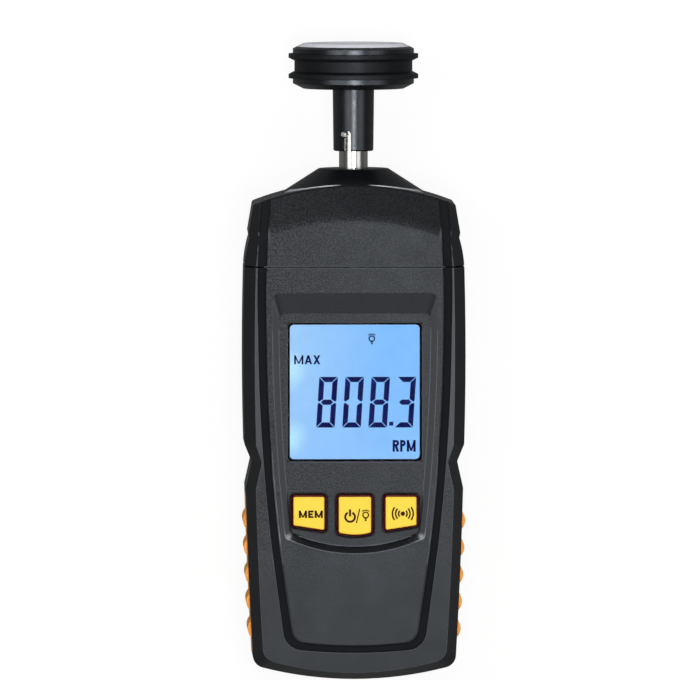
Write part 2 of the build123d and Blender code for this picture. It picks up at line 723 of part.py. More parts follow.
def battery_cover(body):
    """Sliding cover whose lower end follows the housing's bottom edge."""
    cover = body & slab((-COVER_HALF_X, COVER_HALF_X), (-FAR, COVER_TOP_Y), COVER_Z)
    reach = COVER_HALF_X + COVER_TONGUE
    cover = cover + slab((-reach, reach), TONGUE_Y, (COVER_Z[1] - TONGUE_THICKNESS, COVER_Z[1]))
    for index in range(THUMB_COUNT):
        y = THUMB_TOP_Y - index * THUMB_PITCH
        half = THUMB_HALF_X - index * THUMB_STEP
        cover = cover - slab((-half, half), (y - THUMB_HALF_Y, y + THUMB_HALF_Y), (0, THUMB_Z))
    return cover


def battery_cell(index):
    """One AAA cell, with its positive nub; the middle one faces the other way."""
    half = CELL_LENGTH / 2
    cell = turned([(-half, 0), (-half, CELL_R), (half - CELL_NUB, CELL_R),
                   (half - CELL_NUB, CELL_NUB_R), (half, CELL_NUB_R), (half, 0)])
    cell = Pos(0, 0, -SHAFT_Z) * cell
    if index == 1:
        cell = Rot(0, 0, 180) * cell
    return Pos((index - 1) * CELL_PITCH, sum(BAY_Y) / 2, CELL_Z) * cell


def contact_leaf(wall_y, way):
    """Bent leaf on one end wall of the tub; way is the direction towards the cell."""
    thick = CONTACT_THICKNESS * way
    nose = sum(BAY_Y) / 2 - (CELL_LENGTH / 2 + CONTACT_GAP) * way
    back, behind = wall_y + 2 * thick, nose - thick
    low, knee, bend, shoulder, top = CONTACT_Z
    outside = Polyline((wall_y, top), (wall_y, low), (nose, knee), (nose, bend),
                       (wall_y + thick, shoulder), (wall_y + thick, top), close=True)
    hollow_low, hollow_high = CONTACT_HOLLOW_Z
    inside = Polyline((back, hollow_low), (behind, knee), (behind, bend), (back, hollow_high),
                      close=True)
    leaf = extrude(Plane.YZ * make_face(outside), CONTACT_HALF, both=True)
    return leaf - extrude(Plane.YZ * make_face(inside), CONTACT_HALF + OVERLAP, both=True)


def battery_contacts():
    """Sprung leaves at both ends of each cell."""
    leaves = [contact_leaf(BAY_Y[0], 1), contact_leaf(BAY_Y[1], -1)]
    places = [Pos((index - 1) * CELL_PITCH, 0, 0) for index in range(3)]
    return Compound(children=[place * leaf for place in places for leaf in leaves])


def bearing_housing():
    """Turned sleeve that holds both bushes in the head."""
    low, high = HOUSING_Y
    step = low + HOUSING_FLANGE
    return turned([(low, HOUSING_BORE_R), (low, HOUSING_FLANGE_R), (step, HOUSING_FLANGE_R),
                   (step, HOUSING_R), (high, HOUSING_R), (high, HOUSING_BORE_R)])


def front_bush():
    """Plain bush behind the nose."""
    return ring(FRONT_BUSH_Y, SHAFT_R + RUNNING, HOUSING_BORE_R)


def rear_bush():
    """Plain bush for the journal."""
    return ring(REAR_BUSH_Y, JOURNAL_R + RUNNING, HOUSING_BORE_R)


def thrust_washer():
    """Washer between the shaft's shoulder and the rear bush."""
    return ring((SHOULDER_Y - WASHER_THICKNESS, SHOULDER_Y), JOURNAL_R, WASHER_R)


def retaining_ring():
    """Split ring in the journal's groove behind the rear bush."""
    split = slab((-RING_SPLIT_HALF, RING_SPLIT_HALF), (-FAR, FAR), (0, SHAFT_Z))
    return ring(RING_Y, JOURNAL_R - RING_SEAT, RING_R) - split


def measuring_shaft():
    """Stainless shaft with its shoulder, journal, ring groove and cross hole."""
    tip, shoulder, tail = SHAFT_TIP_Y, SHOULDER_Y, SHAFT_TAIL_Y
    low, high = RING_Y
    seat_r = JOURNAL_R - RING_SEAT
    shaft = turned([
        (tail, 0), (tail, JOURNAL_R - TAIL_CHAMFER), (tail + TAIL_CHAMFER, JOURNAL_R),
        (low, JOURNAL_R), (low, seat_r), (high, seat_r), (high, JOURNAL_R), (shoulder, JOURNAL_R),
        (shoulder, SHAFT_R), (tip - TIP_CHAMFER, SHAFT_R), (tip, SHAFT_R - TIP_CHAMFER), (tip, 0)])
    for angle in (PIN_ANGLE, PIN_ANGLE + 180):
        shaft = shaft - radial_rod(angle, PIN_R, SLEEVE_FOOT_R)
    return shaft


def bayonet_pin():
    """Cross pin that the sleeve's hooked slots catch."""
    pin = Cylinder(PIN_R, 2 * (SLEEVE_FOOT_R - PIN_SINK))
    pin = chamfer(pin.edges().filter_by(GeomType.CIRCLE), PIN_CHAMFER)
    return Pos(0, PIN_Y, SHAFT_Z) * Rot(0, PIN_ANGLE, 0) * pin


def encoder_disc():
    """Slotted disc that the light gate reads, on its own hub."""
    hub = ring((DISC_Y[0] - DISC_HUB[0], DISC_Y[1] + DISC_HUB[1]), JOURNAL_R, DISC_HUB_R)
    disc = hub + ring(DISC_Y, (JOURNAL_R + DISC_HUB_R) / 2, DISC_R)
    slot = slab((-DISC_SLOT_HALF, DISC_SLOT_HALF), (-FAR, FAR), DISC_SLOT_Z)
    for index in range(DISC_SLOTS):
        disc = disc - Pos(0, 0, SHAFT_Z) * Rot(0, index * 360 / DISC_SLOTS, 0) * slot
    return disc


def sensor_board():
    """Small board under the slotted disc."""
    return slab(*SENSOR_BOARD)


def photo_interrupter():
    """Forked light gate that straddles the disc's rim."""
    gap = y_slice(DISC_Y[0] - FORK_GAP, DISC_Y[1] + FORK_GAP) & z_slice(FORK_FLOOR_Z, FAR)
    fork = slab(*FORK) - gap
    return chamfer(fork.edges().group_by(Axis.Z)[-1].filter_by(Axis.X), FORK_CHAMFER)


def bayonet_slot(way):
    """Hooked slot: a leg from the sleeve's foot and a short turn to the pin's seat."""
    near, far = SLOT_REACH
    low, high = PIN_Y - SLOT_HALF, PIN_Y + SLOT_HALF
    leg = slab((-SLOT_HALF, SLOT_HALF), (0, PIN_Y), SLOT_REACH)
    section = make_face(Polyline((0, low, near), (0, high, near), (0, high, far), (0, low, far),
                                 close=True))
    turn = revolve(Rot(0, PIN_ANGLE, 0) * section, Axis.Y, LEG_ANGLE - PIN_ANGLE)
    path = Pos(0, 0, SHAFT_Z) * (Rot(0, LEG_ANGLE, 0) * leg + turn)
    for angle in (PIN_ANGLE, LEG_ANGLE):
        path = path + radial_rod(angle, SLOT_HALF + SLOT_RELIEF, far)
    return Pos(0, 0, SHAFT_Z) * Rot(0, way, 0) * Pos(0, 0, -SHAFT_Z) * path


def out(distance):
    """Y of a point on the wheel, counted from its middle."""
    return WHEEL_MID_Y + distance


def wheel_hub():
    """Wheel disc and sleeve in one moulding, with the bayonet slots and the tyre's seat."""
    half, bore_r = WHEEL_HALF, SHAFT_R + SLEEVE_PLAY
    dish, bore_end = out(half - DISH_DEPTH), SHAFT_TIP_Y + SLEEVE_END_GAP
    hub = turned([
        (SLEEVE_FOOT_Y, bore_r), (SLEEVE_FOOT_Y, SLEEVE_FOOT_R - SLEEVE_CHAMFER),
        (SLEEVE_FOOT_Y + SLEEVE_CHAMFER, SLEEVE_FOOT_R), (out(-half), SLEEVE_TOP_R),
        (out(-half), FACE_R), (out(-FLANGE_HALF), FLANGE_R), (out(-SEAT_HALF), FLANGE_R),
        (out(-SEAT_HALF), TYRE_SEAT_R), (out(SEAT_HALF), TYRE_SEAT_R), (out(SEAT_HALF), FLANGE_R),
        (out(FLANGE_HALF), FLANGE_R), (out(half), FACE_R), (out(half), DISH_R[1]),
        (dish, DISH_R[0]), (dish, 0), (bore_end, 0), (bore_end, bore_r)])
    return hub - bayonet_slot(0) - bayonet_slot(180)


def wheel_tyre():
    """Rubber ring with its tread between two ridges."""
    side = [(out(-SEAT_HALF), TYRE_SEAT_R), (out(-SEAT_HALF), RIDGE_R), (out(-RIDGE_TOP), RIDGE_R),
            (out(-RIDGE_FOOT), TREAD_R)]
    return turned(side + [(2 * WHEEL_MID_Y - y, radius) for y, radius in reversed(side)])


def build_parts():
    """Every node by name."""
    body = outer_body()
    grip = right_grip()
    return {
        "front_case": front_case(body),
        "rear_case": rear_case(body),
        "head_cap": head_cap(body),
        "grip_left": mirror(grip, Plane.YZ),
        "grip_right": grip,
        "display_window": display_window(),
        "lcd_panel": lcd_panel(),
        "backlight_panel": backlight_panel(),
        "lcd_connector": lcd_connector(),
        "main_board": main_board(),
        "main_chip": main_chip(),
        "button_switches": button_switches(),
        "case_screws": case_screws(),
        "board_screws": board_screws(),
        "memory_button": button(0),
        "power_button": button(1),
        "measuring_button": button(2),
        "battery_cover": battery_cover(body),
        "battery_cell_left": battery_cell(0),
        "battery_cell_middle": battery_cell(1),
        "battery_cell_right": battery_cell(2),
        "battery_contacts": battery_contacts(),
        "bearing_housing": bearing_housing(),
        "front_bush": front_bush(),
        "rear_bush": rear_bush(),
        "measuring_shaft": measuring_shaft(),
        "bayonet_pin": bayonet_pin(),
        "thrust_washer": thrust_washer(),
        "retaining_ring": retaining_ring(),
        "encoder_disc": encoder_disc(),
        "sensor_board": sensor_board(),
        "photo_interrupter": photo_interrupter(),
        "wheel_hub": wheel_hub(),
        "wheel_tyre": wheel_tyre(),
    }


def centred(shape):
    """The shape moved along Y, so that the whole length is centred on the origin."""
    solids = [Pos(0, -MIDDLE_Y, 0) * solid for solid in shape.solids()]
    return solids[0] if len(solids) == 1 else Compound(children=solids)


os.makedirs("parts", exist_ok=True)
for name, shape in build_parts().items():
    export_step(centred(shape), f"parts/{name}.step")
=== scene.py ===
import math
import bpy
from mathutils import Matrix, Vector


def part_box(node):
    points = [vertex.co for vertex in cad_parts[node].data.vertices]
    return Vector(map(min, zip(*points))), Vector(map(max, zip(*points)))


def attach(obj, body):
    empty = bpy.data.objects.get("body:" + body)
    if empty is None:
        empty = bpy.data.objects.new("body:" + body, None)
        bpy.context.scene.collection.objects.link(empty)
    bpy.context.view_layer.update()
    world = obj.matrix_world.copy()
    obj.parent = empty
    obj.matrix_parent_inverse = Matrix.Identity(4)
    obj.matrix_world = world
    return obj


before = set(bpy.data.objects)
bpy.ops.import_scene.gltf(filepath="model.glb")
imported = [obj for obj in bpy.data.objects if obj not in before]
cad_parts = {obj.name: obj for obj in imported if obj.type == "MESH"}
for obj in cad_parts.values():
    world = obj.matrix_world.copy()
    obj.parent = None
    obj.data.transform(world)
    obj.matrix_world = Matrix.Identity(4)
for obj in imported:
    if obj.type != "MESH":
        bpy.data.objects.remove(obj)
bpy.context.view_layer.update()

from types import SimpleNamespace

import bpy
from mathutils import Vector

# Looks of a handheld contact tachometer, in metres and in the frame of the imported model.
# It lies on its back: +Z out of the display, +Y towards the wheel, +X to the reader's right.

MM = 0.001

# Camera: the photograph's field, and its small tilt and turn
PIXEL = 0.27 * MM
IMAGE = 680
VIEW_CENTRE = (-3.61 * MM, 5.335 * MM, 19.0 * MM)
VIEW_TILT = math.radians(3.0)
VIEW_TURN = math.radians(-1.3)
VIEW_DISTANCE = 4.0
SENSOR = 36.0

# Front of the housing: beyond the crease, an arc, the crown slopes down to the arch's edge
ARCH_CENTRE_Y = -25.525 * MM
CREASE_R = 63.7 * MM
CROWN_SLOPE = 3.0 / 9.6
ARCH_EDGE = 9.6 * MM
LINE_START = 9.15 * MM
TEXTURE_LEVEL = 36.5 * MM
GROOVE_LEVEL = 35.9 * MM
SEAM_Y = 25.875 * MM
FLANK_X = 24.5 * MM

# Recess round the display and the keys: its sloping wall, its foot and its lower corners; the foot
# is painted in shade, the corners get painted glints
WALL_X = 22.3 * MM
WALL_Z = (36.65 * MM, 37.95 * MM)
WALL_TOP_Y = 19.5 * MM
FOOT_X = 19.6 * MM
FOOT_Y = -54.0 * MM
RIDGE_TOP_Y = 9.0 * MM
GLINT_X = 17.9 * MM
GLINT_Y = -46.7 * MM
FRAME_WIDTH = 0.72 * MM

# Lip of the cap beside the nose, with a painted highlight; its width and its paleness change away
# from the middle
LIP_X = (13.0 * MM, 25.0 * MM)
LIP_DROP = (9.86 * MM, 10.5 * MM)
LIP_LOW_Z = 24.0 * MM

# Edges: the rounding that the shading shows
EDGE_R = 0.35 * MM
CREASE_EDGE_R = 1.6 * MM
HOLE_EDGE_R = 0.5 * MM

# Housing colours; a pair runs from the darker to the paler place
PANEL_GREY = ((0.0105, 0.0113, 0.0128, 1), (0.0130, 0.0138, 0.0155, 1))
BAND_BLACK = ((0.0048, 0.0056, 0.0068, 1), (0.0062, 0.0071, 0.0085, 1))
# Painted shade of the crown, which slopes away beyond the crease
CROWN_SHADE_BLACK = (0.004, 0.0045, 0.0055, 1)
# Pale flecks of the grain, painted as its glints
FLECK_GLINT_GREY = (0.056, 0.058, 0.062, 1)
# Painted highlight on the recess's side walls and on the flanks
LIT_SLOPE_GREY = (0.062, 0.065, 0.071, 1)
# Painted highlight on the lip of the cap, palest in the middle
LIP_HIGHLIGHT_GREY = ((0.66, 0.67, 0.70, 1), (0.33, 0.34, 0.37, 1))
# Painted highlights on edges, paler near the recess's lower corners
EDGE_HIGHLIGHT_GREY = ((0.13, 0.14, 0.16, 1), (0.36, 0.38, 0.42, 1))
# Painted shade on the lower end of the recess's sloping wall
FOOT_SHADE_BLACK = (0.002, 0.0025, 0.003, 1)
# Painted shade round the key holes
HOLE_SHADE_BROWN = (0.004, 0.0015, 0.001, 1)
SHEEN_LEVEL = 0.24
SHEEN_TINT = (0.84, 0.91, 1.0, 1.0)

# Scales of the noises that all mouldings share
CLOUD_SCALE = 180.0
SMUDGE_SCALE = 420.0
SKIN_SCALE = 1500.0
STIPPLE_SCALE = 2400.0

# Wheel
WHEEL_AXIS_Z = 19.0 * MM
# Painted highlight on the outer ring of the wheel's end face
FACE_HIGHLIGHT_R = 15.2 * MM
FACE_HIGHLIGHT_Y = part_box("wheel_hub")[1].y - 1.3 * MM
HUB_BLACK = ((0.0045, 0.005, 0.006, 1), (0.0055, 0.006, 0.0072, 1))
FACE_HIGHLIGHT_GREY = ((0.58, 0.60, 0.64, 1), (0.70, 0.72, 0.76, 1))

# Display; the marks on it and on the keys are placed from its middle
LCD_LOW, LCD_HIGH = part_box("lcd_panel")
LCD_TOP = LCD_HIGH.z
DISPLAY_Y = (LCD_LOW.y + LCD_HIGH.y) / 2
LIT_AREA = (34.9 * MM, 36.2 * MM)
LIT_CORNER = 1.1 * MM
GLOW_X = -18.3 * MM
GLOW_Y = (5.8 * MM, -12.2 * MM)
INK = 0.02 * MM
DISPLAY_LIFT = 0.005 * MM
KEY_LIFT = 0.002 * MM
DIGIT_TOP = 4.05 * MM
DIGIT_HEIGHT = 13.65 * MM
DIGIT_WIDTH = 5.0 * MM
DIGIT_BAR = 1.4 * MM
DIGIT_GAP = 0.13 * MM
DIGIT_LEAN = 0.0645
DIGIT_LEFT = [-10.4 * MM, -3.37 * MM, 3.65 * MM, 10.65 * MM]
DIGIT_SEGMENTS = ["abcdefg", "abcdef", "abcdefg", "abcdg"]
DIGIT_POINT = [(9.25 * MM, -9.1 * MM), (10.35 * MM, -9.1 * MM),
               (10.4 * MM, -8.05 * MM), (9.3 * MM, -8.05 * MM)]
INK_BLUE = (0.0015, 0.0030, 0.050, 1.0)

# Keys
KEYS = ("memory", "power", "measuring")
KEY_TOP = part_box("power_button")[1].z
KEY_WALL = 0.45 * MM
KEY_REACH = 0.5 * MM
KEY_YELLOW = ((0.96, 0.715, 0.046, 1), (0.99, 0.745, 0.050, 1))
# Painted shade: deeper orange where the key's face rounds off, dark red on its walls and flange
KEY_SHADE_ORANGE = (0.96, 0.44, 0.014, 1)
KEY_SHADE_RED = (0.085, 0.006, 0.003, 1)
KEY_INK = (0.045, 0.012, 0.004, 1.0)

# Studio: how much of the white background gloss shows, and what the world lights with
MIRROR_SHARE = 0.07
WORLD_MIRROR = 0.14
WORLD_FILL = 0.06
HORIZON_GLOW = 2.0
FLOOR_LIFT = 0.9
FLOOR_Z = -0.1 * MM
FLOOR_REACH = 3.0
LAMPS = [  # name, place, aim, size, watts
    ("overhead_box", (0.03, 0.03, 0.92), (0.0, 0.0, 0.02), (0.26, 0.26), 2.9),
    ("crease_strip", (-0.34, 0.26, 0.84), (0.0, 0.02, 0.02), (0.30, 0.08), 0.45),
    ("front_box", (0.0, -0.52, 0.78), (0.0, 0.0, 0.02), (0.50, 0.30), 1.25),
    ("left_box", (-0.46, 0.10, 0.74), (0.0, 0.02, 0.02), (0.24, 0.46), 1.0),
    ("right_box", (0.56, 0.0, 0.68), (0.0, 0.02, 0.02), (0.50, 0.46), 1.0),
    ("rear_box", (0.0, 0.95, 0.12), (0.0, 0.08, 0.02), (0.36, 0.16), 3.6),
]


class Nodes:
    """Short-hand for building a node tree."""

    def __init__(self, tree):
        self.tree = tree
        self.tree.nodes.clear()

    def node(self, kind, inputs=None, **settings):
        """Adds a node; inputs are values, or sockets to link from."""
        node = self.tree.nodes.new(kind)
        for key, value in settings.items():
            setattr(node, key, value)
        for key, value in (inputs or {}).items():
            self.feed(node.inputs[key], value)
        return node

    def feed(self, socket, value):
        if isinstance(value, bpy.types.NodeSocket):
            self.tree.links.new(value, socket)
        else:
            socket.default_value = value

    def math(self, operation, first, second=0.0, third=0.0):
        inputs = {0: first, 1: second, 2: third}
        return self.node("ShaderNodeMath", inputs, operation=operation).outputs[0]

    def size(self, value):
        return self.math("ABSOLUTE", value)

    def less(self, first, second):
        return self.math("SUBTRACT", first, second)

    def over(self, value, limit):
        """1 where value is greater than limit."""
        return self.math("GREATER_THAN", value, limit)

    def under(self, value, limit):
        """1 where value is less than limit."""
        return self.math("LESS_THAN", value, limit)

    def all_of(self, first, *masks):
        for mask in masks:
            first = self.math("MULTIPLY", first, mask)
        return first

    def any_of(self, first, *masks):
        for mask in masks:
            first = self.math("MAXIMUM", first, mask)
        return first

    def span(self, first, second):
        """Length of a flat vector."""
        return self.math("SQRT", self.math("ADD", self.math("POWER", first, 2.0),
                                           self.math("POWER", second, 2.0)))


class Shader(Nodes):
    """Short-hand for building one material's nodes."""

    def __init__(self, name):
        self.material = bpy.data.materials.new(name)
        self.material.use_nodes = True
        super().__init__(self.material.node_tree)

    def mix(self, factor, first, second):
        node = self.node("ShaderNodeMix", data_type="RGBA")
        for index, value in ((0, factor), (6, first), (7, second)):
            self.feed(node.inputs[index], value)
        return node.outputs[2]

    def place(self):
        """Object coordinates, which are the row frame in metres."""
        return self.node("ShaderNodeTexCoord").outputs["Object"]

    def split(self, vector):
        """X, Y and Z of a vector."""
        return self.node("ShaderNodeSeparateXYZ", {"Vector": vector}).outputs

    def noise(self, scale, detail=2.0, roughness=0.5, vector=None):
        inputs = {"Vector": vector or self.place(), "Scale": scale, "Detail": detail,
                  "Roughness": roughness}
        return self.node("ShaderNodeTexNoise", inputs).outputs["Fac"]

    def stretched(self, scale):
        """Object coordinates scaled differently along each axis."""
        inputs = {"Vector": self.place(), "Scale": scale}
        return self.node("ShaderNodeMapping", inputs).outputs[0]

    def ramp(self, value, low, high, first=0.0, second=1.0):
        """Maps value from low..high to first..second, clamped."""
        return self.node("ShaderNodeMapRange", {
            "Value": value, "From Min": low, "From Max": high, "To Min": first, "To Max": second,
        }).outputs[0]

    def spread(self, noise, first=0.0, second=1.0):
        """A noise's middle range, stretched to first..second."""
        return self.ramp(noise, 0.3, 0.7, first, second)

    def cloud(self, scale, first=0.0, second=1.0, detail=3.0):
        return self.spread(self.noise(scale, detail), first, second)

    def bump(self, height, distance, strength=1.0, normal=None):
        inputs = {"Height": height, "Distance": distance, "Strength": strength}
        if normal is not None:
            inputs["Normal"] = normal
        return self.node("ShaderNodeBump", inputs).outputs[0]

    def skin(self, depth, soft):
        """Fine moulded skin over softened edges."""
        return self.bump(self.noise(SKIN_SCALE, 3.0, 0.6), depth, 0.6, soft)

    def true_normal(self):
        return self.node("ShaderNodeNewGeometry").outputs["True Normal"]

    def soft_edge(self, radius):
        """Shading normal that rounds edges by a small radius."""
        return self.node("ShaderNodeBevel", {"Radius": radius}, samples=6).outputs[0]

    def done(self, surface):
        output = self.node("ShaderNodeOutputMaterial")
        self.tree.links.new(surface.outputs[0], output.inputs["Surface"])
        return self.material

    def principled(self, **inputs):
        """Ends the material with one shader; an underscore stands for a space."""
        named = {key.replace("_", " "): value for key, value in inputs.items()}
        return self.done(self.node("ShaderNodeBsdfPrincipled", named))


def key_zone(s, x, y):
    """Mask of the places round the three key holes."""
    zone = 0.0
    for key in KEYS:
        low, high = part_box(key + "_button")
        reach = s.any_of(s.less(s.size(s.less(x, (low.x + high.x) / 2)), (high.x - low.x) / 2),
                         s.less(s.size(s.less(y, (low.y + high.y) / 2)), (high.y - low.y) / 2))
        zone = s.any_of(zone, s.under(reach, KEY_REACH))
    return zone


def key_material():
    """Yellow key, deeper orange towards its rim as painted shade, and dark red on its walls and
    flange as painted shade.
    """
    s = Shader("key_yellow")
    soft = s.soft_edge(0.45 * MM)
    wide = s.split(s.soft_edge(1.5 * MM))[2]
    narrow = s.split(soft)[2]
    up = s.split(s.true_normal())[2]
    # Painted shade: the yellow flange below the key's top lies in the gap's shade
    low = s.under(s.split(s.place())[2], KEY_TOP - KEY_WALL)
    colour = s.mix(s.ramp(wide, 0.86, 0.995, 1.0, 0.0),
                   s.mix(s.cloud(CLOUD_SCALE), *KEY_YELLOW), KEY_SHADE_ORANGE)
    # Painted shade on the key's rounded rim, its walls and its flange
    shaded_rim = s.any_of(s.ramp(narrow, 0.90, 0.985, 1.0, 0.0), s.ramp(up, 0.985, 0.998, 1.0, 0.0), low)
    return s.principled(
        Base_Color=s.mix(shaded_rim, colour, KEY_SHADE_RED), Roughness=s.cloud(SMUDGE_SCALE, 0.3, 0.38),
        Normal=s.skin(0.004 * MM, soft), Specular_IOR_Level=0.15)


def display_shade_frame(s, x, y):
    """Mask of a narrow frame of the recess floor round the display, kept dark and matt as painted
    shade of the gap round the window.
    """
    reach_x = s.less(s.size(x), LIT_AREA[0] / 2 + FRAME_WIDTH)
    reach_y = s.less(s.size(s.less(y, DISPLAY_Y)), LIT_AREA[1] / 2 + FRAME_WIDTH)
    return s.under(s.any_of(reach_x, reach_y), 0.0)


def housing_places(s):
    """Masks and measures of the housing's places, from position and true normal."""
    x, y, z = s.split(s.place())
    normal = s.true_normal()
    facing = s.split(normal)
    p = SimpleNamespace(x=x, y=y, z=z, normal=normal, aside=s.size(x))
    p.sideways = s.size(facing[0])
    p.radius = s.span(x, s.less(y, ARCH_CENTRE_Y))
    p.drop = s.any_of(s.less(p.radius, CREASE_R), 0.0)
    level = s.math("ADD", z, s.math("MULTIPLY", p.drop, CROWN_SLOPE))
    p.front = s.ramp(level, TEXTURE_LEVEL, TEXTURE_LEVEL + 0.05 * MM)
    back = s.ramp(z, 0.1 * MM, 0.3 * MM, 1.0, 0.0)
    faces_up = s.ramp(s.size(facing[2]), 0.6, 0.7)
    p.grained = s.all_of(s.any_of(p.front, back), faces_up)
    p.recess_x = s.under(p.aside, WALL_X)
    p.slope = s.all_of(p.recess_x, s.over(z, WALL_Z[0]), s.under(z, WALL_Z[1]),
                       s.under(y, WALL_TOP_Y))
    # Grain, with its pale flecks painted as glints: weaker on the recess wall and the crown, and
    # fading from the upper left towards the lower right, as the light falls
    p.stippled = s.all_of(p.grained, s.ramp(p.slope, 0.0, 1.0, 1.0, 0.15),
                          s.ramp(p.drop, 0.5 * MM, 2.5 * MM, 1.0, 0.45),
                          s.ramp(y, -62.0 * MM, -30.0 * MM, 0.15, 1.0),
                          s.ramp(x, -22.0 * MM, 2.0 * MM, 1.0, 0.55))
    groove = s.all_of(faces_up, s.over(level, GROOVE_LEVEL), s.under(level, TEXTURE_LEVEL))
    # Painted dark reflection: a dark line just inside the arch's edge
    dark_reflection_line = s.all_of(faces_up, s.over(p.drop, LINE_START), s.under(p.drop, ARCH_EDGE))
    # Painted shade of the gap round the window
    frame_shade = s.all_of(display_shade_frame(s, x, y), p.front, faces_up)
    # Smooth, dark and matt: the groove, and the painted dark line and painted shade frame
    p.matt = s.any_of(groove, dark_reflection_line, frame_shade)
    p.hole = key_zone(s, x, y)
    p.corner = s.span(s.less(p.aside, GLINT_X), s.less(y, GLINT_Y))
    return p


def housing_ground(s, p, speck):
    """Colour of the housing's faces: panel, crown, bands, recess wall, flanks and lip; with painted
    shade on the crown, painted glints on the grain's flecks and painted highlights on the recess's
    side walls, the flanks and the lip.
    """
    cloud = s.cloud(60.0)
    pale = s.mix(cloud, *PANEL_GREY)
    # Painted shade: the crown darkens beyond the crease
    pale = s.mix(s.ramp(p.drop, 0.5 * MM, 2.5 * MM, 0.0, 0.55), pale, CROWN_SHADE_BLACK)
    # Pale flecks of the grain, painted as its glints
    pale = s.mix(s.all_of(s.ramp(speck, 0.42, 0.64), p.stippled), pale, FLECK_GLINT_GREY)
    panel = s.all_of(p.grained, s.less(1.0, p.matt))
    colour = s.mix(panel, s.mix(cloud, *BAND_BLACK), pale)
    # Painted highlight: the recess's side walls and the flanks from about the grips up to the seam
    # are paler
    lit_wall_side = s.all_of(p.slope, s.ramp(p.sideways, 0.2, 0.3))
    lit_flank = s.all_of(p.grained, s.ramp(p.y, -32.0 * MM, -22.0 * MM), s.over(p.aside, FLANK_X),
                     s.under(p.y, SEAM_Y))
    colour = s.mix(s.any_of(lit_wall_side, lit_flank), colour, LIT_SLOPE_GREY)
    # Painted highlight along the lip of the cap beside the nose
    lip_highlight = s.all_of(s.over(p.drop, ARCH_EDGE), s.under(p.drop, s.ramp(p.aside, *LIP_X, *LIP_DROP)),
                   s.over(p.z, LIP_LOW_Z), s.ramp(p.aside, 3.5 * MM, 6.5 * MM))
    return s.mix(lip_highlight, colour, s.mix(s.ramp(p.aside, 8.0 * MM, 18.0 * MM), *LIP_HIGHLIGHT_GREY))


def housing_material():
    """Black ABS: grained grey on the front faces, its pale flecks painted as glints, smooth and
    darker on bands, groove and nose; painted shade and painted highlights lie in its colour too.
    """
    s = Shader("housing_plastic")
    p = housing_places(s)
    speck = s.noise(STIPPLE_SCALE, 2.0, 0.6)
    colour = housing_ground(s, p, speck)

    # Edges: a wide one at the crease and round the key holes, a narrow one elsewhere
    crease = s.ramp(s.size(s.less(p.radius, CREASE_R)), 0.6 * MM, 2.4 * MM, CREASE_EDGE_R, EDGE_R)
    radius = s.math("MULTIPLY_ADD", s.less(crease, EDGE_R), p.front, EDGE_R)
    soft = s.soft_edge(s.math("MULTIPLY_ADD", p.hole, HOLE_EDGE_R, radius))
    bend = s.node("ShaderNodeVectorMath", {0: soft, 1: p.normal},
                  operation="DOT_PRODUCT").outputs["Value"]
    # Painted highlights along the rounded edges of the front and of the recess, and painted glints
    # at the recess's lower corners
    edge_highlight = s.all_of(s.ramp(bend, 0.90, 0.985, 1.0, 0.0), p.front, s.under(p.drop, 2.5 * MM))
    ridge_highlight = s.all_of(s.ramp(bend, 0.990, 0.9985, 1.0, 0.0), p.recess_x, p.front,
                     s.under(p.y, RIDGE_TOP_Y), s.over(p.y, FOOT_Y))
    # Painted shade on the lower end of the recess's sloping wall
    foot_shade = s.all_of(p.slope, s.ramp(p.y, -40.0 * MM, -38.0 * MM, 1.0, 0.0),
                    s.ramp(p.sideways, 0.2, 0.3, 1.0, 0.0), s.over(p.y, FOOT_Y),
                    s.under(p.aside, FOOT_X))
    glint = s.all_of(s.ramp(p.corner, 0.2 * MM, 1.05 * MM, 0.75, 0.0), p.front)
    edge_highlight_tone = s.mix(s.ramp(p.corner, 0.8 * MM, 3.0 * MM, 1.0, 0.0), *EDGE_HIGHLIGHT_GREY)
    # Painted shade in the gaps round the key holes
    ring = s.all_of(p.hole, s.ramp(bend, 0.99, 0.998, 1.0, 0.0))
    colour = s.mix(foot_shade, colour, FOOT_SHADE_BLACK)
    colour = s.mix(s.any_of(edge_highlight, ridge_highlight, glint), colour, edge_highlight_tone)
    colour = s.mix(ring, colour, HOLE_SHADE_BROWN)

    rough = s.math("ADD", s.ramp(p.grained, 0.0, 1.0, 0.3, 0.36), s.math("MULTIPLY", p.matt, 0.5))
    rough = s.math("ADD", rough, s.cloud(140.0, -0.03, 0.03, detail=4.0))
    rough = s.math("ADD", rough, s.math("MULTIPLY", s.any_of(foot_shade, ring), 0.4))
    return s.principled(
        Base_Color=colour, Roughness=rough,
        Normal=s.bump(s.all_of(speck, p.stippled), 0.2 * MM, 0.8, soft),
        Specular_IOR_Level=SHEEN_LEVEL, Specular_Tint=SHEEN_TINT)


def plastic(name, colour, roughness, grain=0.01, coat=0.0, edge=0.2, gloss=0.5,
            tint=(1.0, 1.0, 1.0, 1.0)):
    """Moulded plastic or rubber with a little cloud in its colour and a fine skin."""
    s = Shader(name)
    darker = [channel * 0.88 for channel in colour] + [1.0]
    lighter = [channel * 1.12 for channel in colour] + [1.0]
    return s.principled(
        Base_Color=s.mix(s.cloud(CLOUD_SCALE), darker, lighter),
        Roughness=s.cloud(SMUDGE_SCALE, roughness - 0.04, roughness + 0.05),
        Normal=s.skin(grain * MM, s.soft_edge(edge * MM)),
        Coat_Weight=coat, Coat_Roughness=0.12, Specular_IOR_Level=gloss, Specular_Tint=tint)


